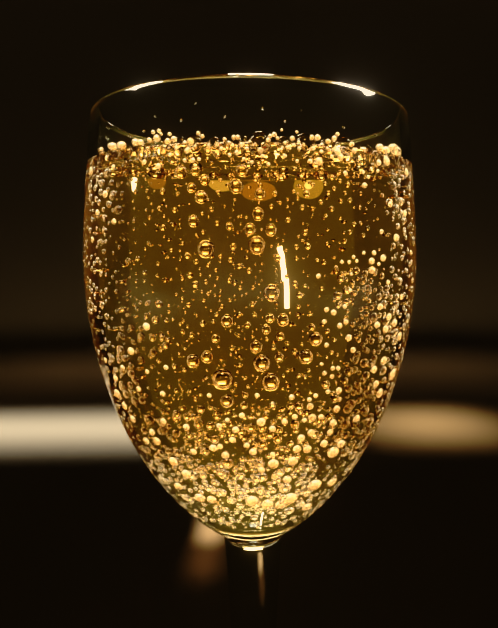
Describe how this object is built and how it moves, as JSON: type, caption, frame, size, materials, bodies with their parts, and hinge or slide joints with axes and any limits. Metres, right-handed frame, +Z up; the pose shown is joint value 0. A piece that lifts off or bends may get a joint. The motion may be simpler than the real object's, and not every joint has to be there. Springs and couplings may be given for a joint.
{
  "type": "glass of sparkling wine",
  "caption": "Stemmed wine glass with a round bowl, filled near the rim with sparkling sweet white wine, froth on top.",
  "frame": {"origin": "middle of the underside of the foot, at the height of the ring it rests on", "axes": "+Z up along the stem's axis, the axis of revolution of glass and wine; +X and +Y are any two level directions"},
  "size_m": [0.073, 0.073, 0.17],
  "materials": {
    "clear_glass": "polished, clear",
    "moscato": "clear golden liquid",
    "froth": "wet, shiny bubbles"
  },
  "bodies": {
    "root": {"glass": "clear_glass", "wine": "moscato", "froth": "froth"}
  },
  "joints": []
}
